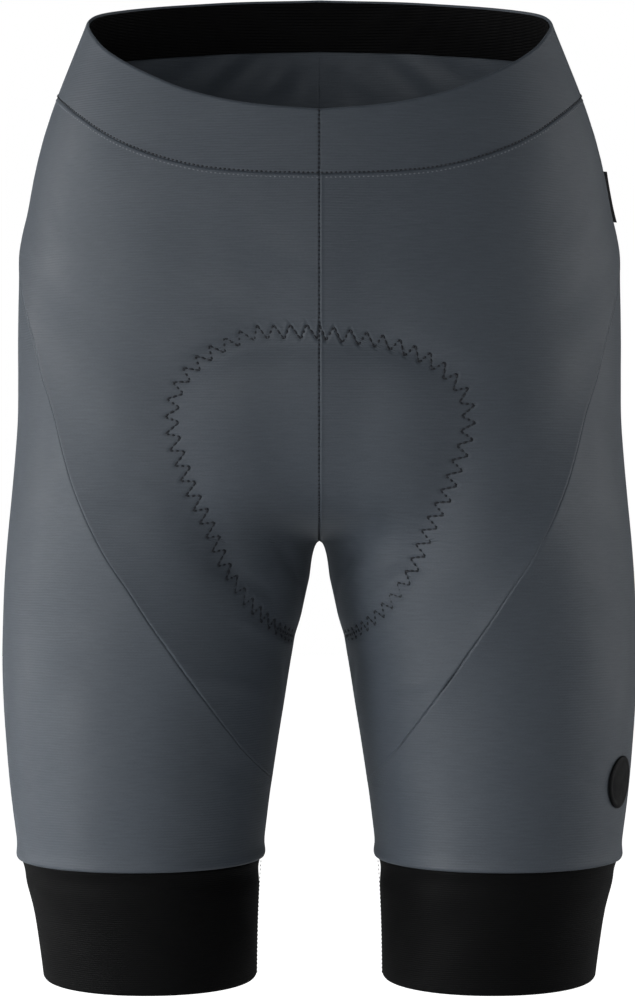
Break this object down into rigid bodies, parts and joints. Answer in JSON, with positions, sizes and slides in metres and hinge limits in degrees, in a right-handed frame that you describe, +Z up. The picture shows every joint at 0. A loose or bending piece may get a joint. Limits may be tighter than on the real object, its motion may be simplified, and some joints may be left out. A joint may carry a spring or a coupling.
{
  "type": "cycling shorts",
  "caption": "Padded, fitted cycling shorts filled out as if worn, with a wide waistband, diagonal side panels, elastic leg bands and a stitched seat pad.",
  "frame": {"origin": "on the middle line of the shorts, level with the side of the waistband, where the wearer's waist holds them", "axes": "+Z is up the body, +X is the wearer's left, -Y is the front"},
  "size_m": [0.3414, 0.2406, 0.5399],
  "materials": {
    "knit": "smooth slate grey stretch knit with a faint sheen",
    "elastic": "black ribbed elastic",
    "gripper": "black smooth elastic knit",
    "pad": "matt brushed fleece over foam",
    "label": "black woven ribbon",
    "badge": "satin black rubber"
  },
  "bodies": {
    "root": {"waistband_left": "knit", "waistband_right": "knit", "waist_elastic": "elastic", "front_panel_left": "knit", "front_panel_right": "knit", "back_panel_left": "knit", "back_panel_right": "knit", "side_leg_panel_left": "knit", "side_leg_panel_right": "knit", "leg_gripper_left": "gripper", "leg_gripper_right": "gripper", "seat_pad": "pad", "side_label": "label", "leg_badge": "badge"}
  },
  "joints": []
}
